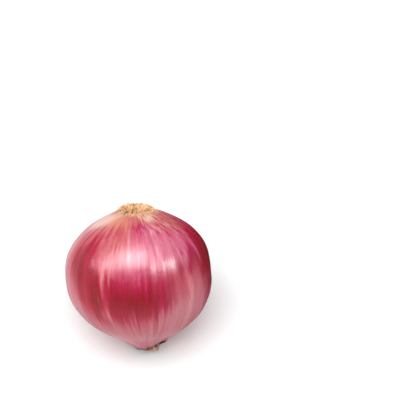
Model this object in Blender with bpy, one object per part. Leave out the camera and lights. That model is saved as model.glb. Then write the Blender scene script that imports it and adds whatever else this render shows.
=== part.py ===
"""A red onion with a trimmed root crown and a dried neck.

The onion lies on the shoulder of its bulb and on the rim of its neck, root crown up and leaning back.
The origin is the centre of the flat spot that it rests on, +Z is up and -Y is the front.
Each piece is modelled about the onion's own axis, crown at +Z, and hangs from one leaning empty.
"""

import math
import random

import bmesh
import bpy
from mathutils import Matrix, Vector

MM = 0.001

# The bulb's profile, about its own axis
BULB_RADIUS = 36.3 * MM
CROWN_RISE = 35.7 * MM
CROWN_PEAK = 1.30
CROWN_BELLY = 2.76
SHOULDER_DROP = 31.7 * MM
NECK_START_RADIUS = 20.1 * MM
NECK_RADIUS = 6.2 * MM
NECK_END = -36.7 * MM
NECK_START_PULL = 5.0 * MM
NECK_END_PULL = 4.5 * MM
NECK_END_SLOPE = math.radians(52.0)
SWAY = 1.1 * MM
SWAY_CENTRE = -17.0 * MM
SWAY_SPAN = 26.0 * MM
CROWN_SHIFT = 0.45 * MM

# How it lies
LEAN_BACK = math.radians(36.1)
LEAN_LEFT = math.radians(3.9)
FLAT_DEPTH = 0.6 * MM

# The skin's relief, and how finely it is drawn
RIB_COUNT = 27
RIB_DEPTH = 0.28 * MM
RIB_DEPTH_AT_ENDS = 0.35
RIB_SHARPNESS = 1.4
# How unevenly the ribs are spaced: the size and phase of a drift with two waves and one with five
RIB_DRIFTS = ((2, 0.070, 0.40), (5, 0.050, -0.75))
LOBE_DEPTH = 0.22 * MM
SEGMENTS = 108
CROWN_ROWS = 13
SHOULDER_ROWS = 10
NECK_ROWS = 7
EQUATOR_CROWDING = 1.3

# The skin's edge round the root crown, and the seat that the root plate lies in
RIM_RADIUS = 9.6 * MM
RIM_RAGGED = 0.35 * MM
SEAT_RADIUS = 9.3 * MM
SEAT_HEIGHT = 32.0 * MM
SEAT_LIP = 0.15 * MM

# The collar that the skin makes at the neck, torn short and opened out at one side
COLLAR_WALL = 0.8 * MM
COLLAR_FLOOR_RADIUS = 4.9 * MM
COLLAR_DEPTH = 3.8 * MM
COLLAR_RAGGED = 0.25 * MM
TEAR_DEPTH = 2.6 * MM
TEAR_REACH = 5.8 * MM
TEAR_OPENING = 0.35
TEAR_DIRECTION = math.radians(-32.0)
TEAR_HALF_WIDTH = math.radians(72.0)

# The root plate and its trimmed root stubs
GAP = 0.3 * MM
PLATE_RADIUS = SEAT_RADIUS - GAP
PLATE_CHAMFER = 0.3 * MM
PLATE_EDGE_HEIGHT = 32.9 * MM
PLATE_TOP_HEIGHT = 34.7 * MM
PLATE_ROUNDING = 0.98
PLATE_ROWS = 5
PLATE_SEGMENTS = 30
ROOT_COUNT = 118
ROOT_SIDES = 5
ROOT_BASE_RADIUS = 0.66 * MM
ROOT_TIP_SHARE = 0.72
ROOT_LENGTHS = (1.3 * MM, 2.3 * MM)
ROOT_RIM_SHORTER = 0.25
ROOT_SUNK = 0.8 * MM
ROOT_FIELD_RADIUS = 8.75 * MM
ROOT_SPLAY = math.radians(46.0)
ROOT_WANDER = math.radians(16.0)
ROOT_BEND = 0.45 * MM
ROOT_SEED = 11

# The dried inner leaf ends in the neck
LEAF_WALL = 0.8 * MM
LEAF_STEP = math.radians(12.0)
LEAF_WAVE = 0.22 * MM
LEAF_RAGGED = 0.5 * MM
LEAF_FLARE = 1.2 * MM
LEAF_SUNK = 0.4 * MM
LEAF_PLUG_RADIUS = 4.2 * MM
LEAF_PLUG_HEIGHT = 2.3 * MM
LEAF_PLUG_SEGMENTS = 24
# Each curl: middle radius, start angle, sweep, and how far its end stands past the collar
LEAF_CURLS = (
    (4.3 * MM, math.radians(-100.0), math.radians(156.0), 1.2 * MM),
    (2.7 * MM, math.radians(60.0), math.radians(240.0), 0.6 * MM),
    (1.2 * MM, math.radians(-60.0), math.radians(290.0), 0.2 * MM),
)

WELD = 1e-6
CUT_SNAP = 0.02 * MM
SHARP_ANGLE = math.radians(40.0)

SKIN_COLOUR = (0.46, 0.035, 0.085, 1.0)
SKIN_ROUGHNESS = 0.35
ROOT_COLOUR = (0.62, 0.38, 0.16, 1.0)
ROOT_ROUGHNESS = 0.8
LEAF_COLOUR = (0.52, 0.32, 0.17, 1.0)
LEAF_ROUGHNESS = 0.7


def clear_scene():
    for obj in list(bpy.data.objects):
        bpy.data.objects.remove(obj, do_unlink=True)


def material(name, colour, roughness):
    finish = bpy.data.materials.new(name)
    finish.use_nodes = True
    shader = finish.node_tree.nodes["Principled BSDF"]
    shader.inputs["Base Color"].default_value = colour
    shader.inputs["Roughness"].default_value = roughness
    shader.inputs["Metallic"].default_value = 0.0
    return finish


def add_object(name, shape, finish, parent):
    """The bmesh made into an object that hangs from the leaning empty."""
    mesh = bpy.data.meshes.new(name)
    shape.to_mesh(mesh)
    shape.free()
    mesh.materials.append(finish)
    mesh.shade_smooth()
    mesh.set_sharp_from_angle(angle=SHARP_ANGLE)
    obj = bpy.data.objects.new(name, mesh)
    bpy.context.collection.objects.link(obj)
    obj.parent = parent
    return obj


def smooth_step(value):
    value = min(max(value, 0.0), 1.0)
    return value * value * (3.0 - 2.0 * value)


def spun(profile, segments):
    """A closed bmesh turned from (radius, height) points that start and end on the axis."""
    shape = bmesh.new()
    corners = [shape.verts.new((radius, 0.0, height)) for radius, height in profile]
    edges = [shape.edges.new(pair) for pair in zip(corners, corners[1:])]
    bmesh.ops.spin(
        shape,
        geom=corners + edges,
        cent=(0.0, 0.0, 0.0),
        axis=(0.0, 0.0, 1.0),
        angle=2.0 * math.pi,
        steps=segments,
        use_merge=True,
    )
    bmesh.ops.remove_doubles(shape, verts=shape.verts, dist=WELD)
    bmesh.ops.recalc_face_normals(shape, faces=shape.faces)
    return shape


def crown_point(turn):
    """A point of the upper half, from the axis at 0 to the equator at 1: peaked above, full below."""
    angle = turn * math.pi / 2.0
    radius = BULB_RADIUS * math.sin(angle) ** (2.0 / CROWN_PEAK)
    return radius, CROWN_RISE * max(math.cos(angle), 0.0) ** (2.0 / CROWN_BELLY)


def crown_turn(radius):
    return math.asin((radius / BULB_RADIUS) ** (CROWN_PEAK / 2.0)) * 2.0 / math.pi


def shoulder_point(angle):
    """A point of the lower half, from the equator at 0."""
    return BULB_RADIUS * math.cos(angle), -SHOULDER_DROP * math.sin(angle)


def neck_point(share):
    """A point of the neck's slope, a Bezier curve that leaves the shoulder without a kink."""
    angle = math.acos(NECK_START_RADIUS / BULB_RADIUS)
    start = Vector(shoulder_point(angle))
    fall = Vector((-BULB_RADIUS * math.sin(angle), -SHOULDER_DROP * math.cos(angle)))
    end = Vector((NECK_RADIUS, NECK_END))
    rise = Vector((math.cos(NECK_END_SLOPE), math.sin(NECK_END_SLOPE)))
    first = start + fall.normalized() * NECK_START_PULL
    second = end + rise * NECK_END_PULL
    left = 1.0 - share
    point = (
        start * left**3
        + first * 3.0 * left**2 * share
        + second * 3.0 * left * share**2
        + end * share**3
    )
    return point.x, point.y


def bulb_profile():
    """From the crown's seat, over the skin, to the floor of the neck's collar."""
    first_turn = crown_turn(RIM_RADIUS)
    rim_height = crown_point(first_turn)[1]
    profile = [
        (0.0, SEAT_HEIGHT),
        (SEAT_RADIUS, SEAT_HEIGHT),
        (SEAT_RADIUS, rim_height - SEAT_LIP),
    ]
    for row in range(CROWN_ROWS):
        share = 1.0 - (1.0 - row / CROWN_ROWS) ** EQUATOR_CROWDING
        profile.append(crown_point(first_turn + (1.0 - first_turn) * share))
    last_angle = math.acos(NECK_START_RADIUS / BULB_RADIUS)
    for row in range(SHOULDER_ROWS):
        profile.append(shoulder_point(last_angle * row / SHOULDER_ROWS))
    for row in range(NECK_ROWS + 1):
        profile.append(neck_point(row / NECK_ROWS))
    profile.append((NECK_RADIUS - COLLAR_WALL, NECK_END))
    profile.append((COLLAR_FLOOR_RADIUS, NECK_END + COLLAR_DEPTH))
    profile.append((0.0, NECK_END + COLLAR_DEPTH))
    return profile


def rib_wave(turn):
    """1 on a rib and 0 between ribs, with ribs at uneven spacing."""
    drifted = turn + sum(size * math.sin(waves * turn + phase) for waves, size, phase in RIB_DRIFTS)
    return (0.5 + 0.5 * math.cos(RIB_COUNT * drifted)) ** RIB_SHARPNESS


def skin_depth(turn, radius, height):
    """How far the skin lies inside the profile, so that rib tops are on it."""
    level = height / BULB_RADIUS
    fade = smooth_step(radius / (0.5 * BULB_RADIUS))
    ribs = RIB_DEPTH * (1.0 - rib_wave(turn)) * (RIB_DEPTH_AT_ENDS * (1.0 - fade) + fade)
    broad = 0.3 * math.cos(2.0 * turn + 0.7 + level) + 0.2 * math.cos(3.0 * turn + 2.1 - 2.0 * level)
    return ribs + LOBE_DEPTH * broad * fade


def tear(turn):
    """How much shorter the collar is in this direction."""
    away = math.remainder(turn - TEAR_DIRECTION, 2.0 * math.pi) / TEAR_HALF_WIDTH
    torn = TEAR_DEPTH * smooth_step(1.0 - abs(away))
    ragged = 0.5 * math.sin(9.0 * turn + 0.5) + 0.5 * math.sin(14.0 * turn + 2.0)
    return torn + COLLAR_RAGGED * (1.0 + ragged)


def sway(height):
    """The sideways drift of the onion's middle, which isn't quite on its axis."""
    share = max(-1.0, min(1.0, (height - SWAY_CENTRE) / SWAY_SPAN))
    return CROWN_SHIFT * smooth_step(height / (0.7 * CROWN_RISE)) - SWAY * math.sin(share * math.pi / 2.0)


def bulb_offset(point):
    """Where a vertex of the turned profile goes on the real, uneven bulb."""
    radius = math.hypot(point.x, point.y)
    turn = math.atan2(point.y, point.x)
    height = point.z
    in_seat = height > 0.0 and radius < RIM_RADIUS - WELD
    in_collar = height < 0.0 and radius < NECK_RADIUS - WELD
    on_collar_floor = in_collar and height > NECK_END + WELD
    on_rim = height > 0.0 and abs(radius - RIM_RADIUS) < WELD
    moved = radius
    if not in_seat and not in_collar:
        moved -= skin_depth(turn, radius, height)
    if on_rim:
        moved += RIM_RAGGED * 0.5 * (math.sin(7.0 * turn + 1.0) + math.sin(17.0 * turn))
    if not on_collar_floor:
        torn = tear(turn) * smooth_step((NECK_END + TEAR_REACH - height) / TEAR_REACH)
        moved += TEAR_OPENING * torn
        height += torn
    return Vector((moved * math.cos(turn) + sway(height), moved * math.sin(turn), height))


def flatten(shape, matrix):
    """Cuts away what is below the surface that the onion lies on, and closes the cuts flat."""
    inverse = matrix.inverted()
    floor = inverse @ Vector((0.0, 0.0, 0.0))
    down = (inverse.to_3x3() @ Vector((0.0, 0.0, -1.0))).normalized()
    bmesh.ops.bisect_plane(
        shape,
        geom=shape.verts[:] + shape.edges[:] + shape.faces[:],
        dist=CUT_SNAP,
        plane_co=floor,
        plane_no=down,
        clear_outer=True,
    )
    for vertex in shape.verts:
        vertex.co -= down * max((vertex.co - floor).dot(down), 0.0)
    cut_edges = [edge for edge in shape.edges if edge.is_boundary]
    bmesh.ops.holes_fill(shape, edges=cut_edges, sides=0)
    bmesh.ops.recalc_face_normals(shape, faces=shape.faces)


def make_bulb(lean):
    shape = spun(bulb_profile(), SEGMENTS)
    for vertex in shape.verts:
        vertex.co = bulb_offset(vertex.co)
    flatten(shape, lean.matrix_world)
    add_object("bulb", shape, material("red_skin", SKIN_COLOUR, SKIN_ROUGHNESS), lean)


def plate_height(radius):
    """The domed top of the root plate."""
    share = min(radius / PLATE_RADIUS, 1.0)
    dome = math.sqrt(1.0 - PLATE_ROUNDING * share * share)
    return PLATE_EDGE_HEIGHT + (PLATE_TOP_HEIGHT - PLATE_EDGE_HEIGHT) * dome


def plate_shape():
    base = SEAT_HEIGHT + GAP
    profile = [(0.0, base), (PLATE_RADIUS - PLATE_CHAMFER, base), (PLATE_RADIUS, base + PLATE_CHAMFER)]
    for row in range(PLATE_ROWS + 1):
        radius = PLATE_RADIUS * math.cos(row / PLATE_ROWS * math.pi / 2.0)
        profile.append((radius, plate_height(radius)))
    return spun(profile, PLATE_SEGMENTS)


def root_shape(draw, length):
    """One trimmed root stub, standing on the origin and bent over at its top."""
    shape = bmesh.new()
    radius = ROOT_BASE_RADIUS * draw.uniform(0.85, 1.15)
    height = length + ROOT_SUNK
    bmesh.ops.create_cone(
        shape,
        cap_ends=True,
        segments=ROOT_SIDES,
        radius1=radius,
        radius2=radius * ROOT_TIP_SHARE,
        depth=height,
        matrix=Matrix.Translation((0.0, 0.0, height / 2.0 - ROOT_SUNK)),
    )
    sides = [edge for edge in shape.edges if abs(edge.verts[0].co.z - edge.verts[1].co.z) > height / 2.0]
    bmesh.ops.subdivide_edges(shape, edges=sides, cuts=1)
    bend = ROOT_BEND * draw.uniform(0.3, 1.3)
    for vertex in shape.verts:
        above = max(vertex.co.z, 0.0) / length
        vertex.co.x += bend * above * above
    return shape


def root_stubs(parent):
    """The stubs, spread over the plate as seeds are over a sunflower, and splayed towards its edge."""
    draw = random.Random(ROOT_SEED)
    golden = math.pi * (3.0 - math.sqrt(5.0))
    stubs = bpy.data.collections.new("root_stubs")
    bpy.context.scene.collection.children.link(stubs)
    for number in range(ROOT_COUNT):
        share = math.sqrt((number + 0.5) / ROOT_COUNT)
        radius = ROOT_FIELD_RADIUS * share * draw.uniform(0.97, 1.0)
        turn = number * golden + draw.uniform(-0.08, 0.08)
        length = draw.uniform(*ROOT_LENGTHS) * (1.0 - ROOT_RIM_SHORTER * share * share)
        shape = root_shape(draw, length)
        place = (
            Matrix.Rotation(turn, 4, "Z")
            @ Matrix.Translation((radius, 0.0, plate_height(radius)))
            @ Matrix.Rotation(ROOT_SPLAY * share**1.5 + draw.uniform(-1.0, 1.0) * ROOT_WANDER, 4, "Y")
            @ Matrix.Rotation(draw.uniform(-1.0, 1.0) * ROOT_WANDER, 4, "X")
            @ Matrix.Rotation(draw.uniform(0.0, 2.0 * math.pi), 4, "Z")
        )
        shape.transform(place)
        mesh = bpy.data.meshes.new("root_stub")
        shape.to_mesh(mesh)
        shape.free()
        stub = bpy.data.objects.new("root_stub", mesh)
        stub.parent = parent
        stubs.objects.link(stub)
    return stubs


def join_collection(obj, pieces):
    """One Boolean union of the object and the collection's objects, which are then removed."""
    union = obj.modifiers.new("union", "BOOLEAN")
    union.operation = "UNION"
    union.solver = "EXACT"
    union.operand_type = "COLLECTION"
    union.collection = pieces
    bpy.context.view_layer.update()
    bpy.context.view_layer.objects.active = obj
    bpy.ops.object.modifier_apply(modifier=union.name)
    for piece in list(pieces.objects):
        bpy.data.objects.remove(piece, do_unlink=True)
    bpy.data.collections.remove(pieces)
    obj.data.shade_smooth()
    obj.data.set_sharp_from_angle(angle=SHARP_ANGLE)


def make_root_crown(lean):
    crown = add_object("root_crown", plate_shape(), material("dry_root", ROOT_COLOUR, ROOT_ROUGHNESS), lean)
    crown.location.x = sway(SEAT_HEIGHT)
    join_collection(crown, root_stubs(crown))


def leaf_curl_shape(number, radius, start, sweep, stand):
    """One dried leaf end: an upright wall curled round the axis, with a waved, torn end."""
    top = NECK_END + COLLAR_DEPTH - GAP - LEAF_SUNK
    bottom = NECK_END - stand
    inner = radius - LEAF_WALL / 2.0
    outer = radius + LEAF_WALL / 2.0
    levels = (top, bottom * 0.5 + top * 0.5, bottom)
    shape = bmesh.new()
    outline = [(inner, level) for level in levels] + [(outer, level) for level in reversed(levels)]
    corners = [shape.verts.new((math.cos(start) * r, math.sin(start) * r, z)) for r, z in outline]
    face = shape.faces.new(corners)
    bmesh.ops.spin(
        shape,
        geom=[face],
        cent=(0.0, 0.0, 0.0),
        axis=(0.0, 0.0, 1.0),
        angle=sweep,
        steps=round(sweep / LEAF_STEP),
    )
    bmesh.ops.recalc_face_normals(shape, faces=shape.faces)
    for vertex in shape.verts:
        turn = math.atan2(vertex.co.y, vertex.co.x)
        down = (top - vertex.co.z) / (top - bottom)
        wave = LEAF_WAVE * math.sin(5.0 * turn + 1.3 * number) * down
        flare = LEAF_FLARE * tear(turn) / TEAR_DEPTH * down * down
        reach = 1.0 + (wave + flare * radius / LEAF_PLUG_RADIUS) / radius
        vertex.co.x *= reach
        vertex.co.y *= reach
        vertex.co.z += LEAF_RAGGED * (1.0 + math.sin(4.0 * turn + number)) * down
        vertex.co.x += sway(vertex.co.z)
    return shape


def make_neck_leaves(lean):
    top = NECK_END + COLLAR_DEPTH - GAP
    bottom = top - LEAF_PLUG_HEIGHT
    outline = [(0.0, top), (LEAF_PLUG_RADIUS, top), (LEAF_PLUG_RADIUS, bottom), (0.0, bottom)]
    plug = spun(outline, LEAF_PLUG_SEGMENTS)
    for vertex in plug.verts:
        vertex.co.x += sway(vertex.co.z)
    leaves = add_object("neck_leaves", plug, material("dry_leaf", LEAF_COLOUR, LEAF_ROUGHNESS), lean)
    curls = bpy.data.collections.new("leaf_curls")
    bpy.context.scene.collection.children.link(curls)
    for number, curl in enumerate(LEAF_CURLS):
        mesh = bpy.data.meshes.new("leaf_curl")
        shape = leaf_curl_shape(number, *curl)
        shape.to_mesh(mesh)
        shape.free()
        obj = bpy.data.objects.new("leaf_curl", mesh)
        obj.parent = lean
        curls.objects.link(obj)
    join_collection(leaves, curls)


def make_lean():
    """The empty at the bulb's centre, leaned and raised so that the bulb's flat spot is at the origin."""
    lean = bpy.data.objects.new("onion_axis", None)
    lean.rotation_euler = (-LEAN_BACK, -LEAN_LEFT, 0.0)
    bpy.context.collection.objects.link(lean)
    bpy.context.view_layer.update()
    turn = lean.matrix_world.to_3x3()
    axis = turn @ Vector((0.0, 0.0, 1.0))
    tilt = axis.angle(Vector((0.0, 0.0, 1.0)))
    downhill = (axis * axis.z - Vector((0.0, 0.0, 1.0))).normalized()
    reach = math.hypot(SHOULDER_DROP * math.cos(tilt), BULB_RADIUS * math.sin(tilt))
    touch_radius = BULB_RADIUS**2 * math.sin(tilt) / reach
    touch_height = -(SHOULDER_DROP**2) * math.cos(tilt) / reach
    touch = axis * touch_height + downhill * touch_radius
    lean.location = -touch - Vector((0.0, 0.0, FLAT_DEPTH))
    bpy.context.view_layer.update()
    return lean


def main():
    clear_scene()
    lean = make_lean()
    make_bulb(lean)
    make_root_crown(lean)
    make_neck_leaves(lean)


if __name__ == "__main__":
    main()
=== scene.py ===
"""A red onion lying on its shoulder: its papery skin, trimmed root crown and dried neck.

Every piece is modelled about the onion's own axis, crown up, and is then leaned as the onion lies.
Two measures place a point on the skin: its turn, the angle round the axis, and its way, the angle
from the crown at 0 to the neck at 180 degrees.
"""

import random
from math import acos, asin, cos, hypot, pi, radians, sin, sqrt

import bpy
import numpy as np
from mathutils import Euler, Matrix, Vector, noise


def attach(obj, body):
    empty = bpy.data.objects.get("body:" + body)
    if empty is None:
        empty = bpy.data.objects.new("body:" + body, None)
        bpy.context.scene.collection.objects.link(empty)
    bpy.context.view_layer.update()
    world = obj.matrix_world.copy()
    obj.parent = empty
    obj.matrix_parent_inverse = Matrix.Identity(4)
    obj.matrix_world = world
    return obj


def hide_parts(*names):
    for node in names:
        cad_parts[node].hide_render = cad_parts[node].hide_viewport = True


bl_info = {
    "name": "Red Onion",
    "version": (1, 0, 0),
    "blender": (4, 5, 0),
    "location": "3D Viewport > Sidebar > Onion",
    "description": "Models a red onion's skin, root crown and neck, and the stage that it lies on",
    "category": "Object",
}

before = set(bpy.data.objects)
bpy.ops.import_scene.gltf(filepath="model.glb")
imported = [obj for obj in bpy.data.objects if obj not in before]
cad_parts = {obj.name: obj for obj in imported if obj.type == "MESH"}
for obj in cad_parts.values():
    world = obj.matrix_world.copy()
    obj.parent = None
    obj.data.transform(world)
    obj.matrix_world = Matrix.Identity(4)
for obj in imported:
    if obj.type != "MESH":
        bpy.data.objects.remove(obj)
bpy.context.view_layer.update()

MM = 0.001
BODY = "root"
FULL_TURN = 2.0 * pi

# The bulb's profile, about its own axis, and how it lies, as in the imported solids
BULB_RADIUS = 36.3 * MM
CROWN_RISE = 35.7 * MM
CROWN_PEAK = 1.30
CROWN_BELLY = 2.76
SHOULDER_DROP = 31.7 * MM
NECK_START_RADIUS = 20.1 * MM
NECK_RADIUS = 6.2 * MM
NECK_END = -36.7 * MM
NECK_START_PULL = 5.0 * MM
NECK_END_PULL = 4.5 * MM
NECK_END_SLOPE = radians(52.0)
SWAY = 1.1 * MM
SWAY_CENTRE = -17.0 * MM
SWAY_SPAN = 26.0 * MM
CROWN_SHIFT = 0.45 * MM
LEAN_BACK = radians(36.1)
LEAN_LEFT = radians(3.9)
FLAT_DEPTH = 0.6 * MM

# The skin's ribs, its edge round the crown and its collar at the neck. The ribs are shallower than
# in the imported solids, and the torn collar opens wider.
RIB_COUNT = 27
RIB_DEPTH = 0.18 * MM
RIB_DEPTH_AT_ENDS = 0.35
RIB_SHARPNESS = 1.4
RIB_DRIFTS = ((2, 0.070, 0.40), (5, 0.050, -0.75))
LOBE_DEPTH = 0.22 * MM
RIM_RADIUS = 9.6 * MM
RIM_RAGGED = 0.35 * MM
SEAT_RADIUS = 9.3 * MM
SEAT_HEIGHT = 32.0 * MM
SEAT_LIP = 0.15 * MM
COLLAR_FLOOR_RADIUS = 4.9 * MM
COLLAR_DEPTH = 3.8 * MM
COLLAR_RAGGED = 0.25 * MM
COLLAR_WALL = 0.35 * MM
TEAR_DEPTH = 2.6 * MM
TEAR_REACH = 5.8 * MM
TEAR_OPENING = 0.72
TEAR_RAGGED = 0.35 * MM
TEAR_DIRECTION = radians(-32.0)
TEAR_HALF_WIDTH = radians(72.0)

# How finely the skin is drawn, and how near two points count as one place
SKIN_SEGMENTS = 540
SEAT_ROWS = 12
CROWN_ROWS = 62
SHOULDER_ROWS = 56
NECK_ROWS = 40
COLLAR_ROWS = 6
EQUATOR_CROWDING = 1.1
WELD = 1e-7
NEAR = 10.0 * WELD

# The skin's finer relief: fibres, puckers by the crown, wrinkles by the neck and broad dents
FIBRE_RELIEF = 0.030 * MM
PUCKER_RELIEF = 0.20 * MM
WRINKLE_RELIEF = 0.50 * MM
DENT_RELIEF = 0.14 * MM

# Where the puckers fade out, and the wrinkles and the lower skin's streaks fade in: a way and a
# length of it, in degrees. Then how wide the skin's pale edge is at the crown and dark at the neck.
PUCKER_FADE = (16.0, 22.0)
WRINKLE_FADE = (128.0, 32.0)
LOWER_FADE = (94.0, 14.0)
CROWN_EDGE = 1.6 * MM
NECK_EDGE = 1.7 * MM

# The root plate, and its finer pits and lumps
PLATE_RADIUS = 9.0 * MM
PLATE_EDGE_HEIGHT = 32.9 * MM
PLATE_TOP_HEIGHT = 34.7 * MM
PLATE_ROUNDING = 0.98
PLATE_ROWS = 26
PLATE_SEGMENTS = 96
PIT_SIZE = 1.1 * MM
PIT_DEPTH = 0.35 * MM
LUMP_SIZE = 3.0 * MM
LUMP_DEPTH = 0.3 * MM

# The root stubs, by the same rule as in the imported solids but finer: sides and cuts, and the least
# and most shares of the mean length, with the commonest, and of the mean width. Stubs are shorter
# towards the rim and at the right. They are all but straight, as their bend goes with the square
# of their height in metres.
STUB_FINENESS = (7, 2)
ROOT_FIELD_RADIUS = 8.1 * MM
ROOT_SUNK = 0.5 * MM
ROOT_LENGTHS = (0.45, 1.5, 0.9)
ROOT_WIDTHS = (0.62, 1.30)
ROOT_RIM_SHORTER = 0.38
ROOT_LEAN = 0.52
ROOT_SPLAY = radians(48.0)
ROOT_WANDER = radians(20.0)
ROOT_BEND = 0.35
ROOT_SEED = 23

# Wide hollow roots, one in every few, and bare places of some radius in mm among the roots
HOLLOW_ROOT_WIDTHS = (1.8, 2.6)
HOLLOW_ROOT_EVERY = 9
HOLLOW_ROOT_FIRST = 4
HOLLOW_RIM_EVERY = 4
HOLLOW_RIM = 0.93
BARE_PLACES = 34
BARE_RADII = (0.35, 0.75)

# The fine fibres among the stubs: sides and cuts, and their lengths and radii in mm
FIBRE_FINENESS = (4, 7)
FIBRE_LENGTHS = (1.6, 3.4)
FIBRE_RADII = (0.07, 0.13)

# Torn ends of skin that point in at the crown, and strips that point out from it. A make is the
# way where they end, their lift at the start, their lift at the end and their half width. Pairs are
# ranges to draw from, and all are in degrees and mm.
SCALE_SEED = 41
SCALE_WALL = 0.10 * MM
SCALE_FINENESS = (5, 8)
SCALE_STARTS = (17.0, 22.0)
SCALE_MAKE = ((12.0, 15.2), -0.05, (0.1, 0.7), (0.15, 0.42))
STRIP_COUNT = 16
STRIP_TURNS = (-78.0, 20.0)
STRIP_START = radians(14.0)
STRIP_MAKE = ((17.0, 25.0), 0.25, (0.05, 0.22), (0.15, 0.35))

# The dried leaf ends in the neck: the radius of each curl, where it starts, its sweep and how far
# it stands out, in degrees and mm
HUSK_CURLS = (
    (4.75, -78, 150, 0.95),
    (4.0, 30, 250, 0.95),
    (3.2, -92, 215, 1.35),
    (2.4, 100, 300, 1.10),
    (1.5, -60, 290, 1.70),
    (0.7, 60, 330, 1.30),
)
HUSK_WALL = 0.20 * MM
HUSK_FINENESS = (40, 12)
HUSK_WRINKLE = 0.55 * MM
HUSK_FLARE = 1.6 * MM
HUSK_LEAST_RADIUS = 0.2 * MM
HUSK_SUNK = 0.4 * MM
HUSK_SHADE_REACH = 3.2 * MM

# Scraps at the torn collar: turn, way where each starts and ends, half width, its lift at each end
# and how dark it is, in degrees and mm. The first is a dark sheet of painted shade that fills the
# shadowed gap past the tear, the second a lifted flake.
SCRAPS = (
    (-33, 146, 165.5, 3.4, -0.80, -0.40, 1.0),
    (-47, 143, 156, 1.5, -0.50, 0.30, 0.0),
)
SCRAP_WALL = 0.20 * MM
SCRAP_FINENESS = (8, 10)
SCRAP_SEED = 5

# How far papery pieces are kept off the floor, and how much of their depth is left as give
FLOOR_CLEARANCE = 0.12 * MM
FLOOR_GIVE = 0.1

# The camera, at the photograph's angle and framing
CAMERA_TILT = radians(41.5)
CAMERA_PLACE = (34.943 * MM, -342.681 * MM, 464.826 * MM)
VIEW_ANGLE = radians(21.6)

# The lights: name, size and direction from the onion, and a window's share of the window power
LIGHT_CENTRE = (0.0, -0.004, 0.033)
LIGHT_DISTANCE = 0.80
KEY_LIGHT = ("key_light", (1.40, 1.10), (-0.22, -0.20, 0.95))
SIDE_LIGHT = ("side_light", (0.60, 0.60), (0.90, 0.10, 0.42))
WINDOWS = (
    ("wide_window", (1.20, 0.50), (-0.02, -0.04, 0.99), 1.1),
    ("main_window", (0.48, 0.54), (-0.10, -0.11, 0.98), 1.55),
    ("right_window", (0.20, 0.28), (0.69, -0.22, 0.66), 1.25),
    ("left_window", (0.30, 0.28), (-0.73, -0.12, 0.67), 0.44),
)

# The pale surround fades upwards to a dim sky, and towards one shaded side
SKY_FADE = (0.0, 0.22)
SHADE_DIRECTION = (0.8, 0.6, 0.0)
SHADE_FADE = (0.18, 0.50)


def whole(name, description, default, most):
    return bpy.props.IntProperty(name=name, description=description, default=default, min=1, max=most)


def measure(name, description, default, **unit):
    """A number with its unit or subtype."""
    return bpy.props.FloatProperty(name=name, description=description, default=default, **unit)


def tint(name, description, default):
    return bpy.props.FloatVectorProperty(
        name=name, description=description, default=default, subtype="COLOR", min=0.0, max=1.0
    )


class OnionShape(bpy.types.PropertyGroup):
    """Sizes and counts that a user may change."""

    root_count: whole("Roots", "Trimmed root stubs on the plate", 400, 600)
    root_length: measure("Root Length", "Mean length of a stub", 1.95 * MM, unit="LENGTH")
    root_radius: measure("Root Radius", "Mean radius of a stub", 0.34 * MM, unit="LENGTH")
    fibre_count: whole("Fibres", "Fine dried fibres among the stubs", 110, 400)
    scale_count: whole("Skin Scales", "Torn ends of skin round the crown", 110, 160)


class OnionColours(bpy.types.PropertyGroup):
    """The onion's colours, in linear values."""

    warm_pale: tint("Warm Pale", "Skin with the least pigment, on the warm side", (0.62, 0.235, 0.245))
    warm_light: tint("Warm Light", "Lightly pigmented warm skin", (0.49, 0.09, 0.115))
    warm_full: tint("Crimson", "Well pigmented warm skin", (0.37, 0.002, 0.03))
    warm_deep: tint("Deep Crimson", "The darkest warm skin", (0.235, 0.0, 0.006))
    cool_pale: tint("Cool Pale", "Skin with the least pigment, on the cool side", (0.62, 0.24, 0.31))
    cool_light: tint("Cool Light", "Lightly pigmented cool skin", (0.52, 0.1, 0.175))
    cool_full: tint("Magenta", "Well pigmented cool skin", (0.405, 0.003, 0.074))
    cool_deep: tint("Wine", "The darkest cool skin", (0.26, 0.0, 0.024))
    dust: tint("Dusty Pink", "Dry outer skin over the pigment", (0.51, 0.175, 0.208))
    peach: tint("Peach", "Bleached skin round the crown", (0.6, 0.205, 0.135))
    cream: tint("Cream", "Papery skin with no pigment", (0.74, 0.48, 0.41))
    # Dry edge is also painted shade on the skin's inner faces, in the crown's seat and inside the neck's
    # collar.
    dry_edge_and_shade: tint("Dry Edge", "Torn brown edges of the skin", (0.15, 0.04, 0.022))
    straw: tint("Straw", "Dried roots", (0.84, 0.49, 0.23))
    root_pale: tint("Pale Straw", "The palest dried roots", (0.98, 0.72, 0.47))
    # Cork is also painted shade in the plate's pits and in the wide roots' hollow tips.
    cork_and_shade: tint("Cork", "The root plate between the roots", (0.055, 0.018, 0.004))
    scale_cream: tint("Scale Cream", "The palest torn ends of skin", (0.7, 0.43, 0.27))
    husk: tint("Husk", "Dried inner leaf ends", (0.46, 0.22, 0.15))
    husk_pale: tint("Pale Husk", "The palest of the dried leaf ends", (0.62, 0.4, 0.29))
    # Painted shade: the dark scrap fills the shadowed gap past the torn collar.
    painted_scrap_shade: tint("Dark Scrap", "Torn skin in the shade of the collar", (0.05, 0.001, 0.003))
    # Dark husk is burnt brown at the leaves' ends, and painted shade deep in the neck and in their
    # creases.
    husk_burnt_and_shade: tint("Dark Husk", "Burnt brown ends of the leaves", (0.13, 0.025, 0.012))


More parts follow.
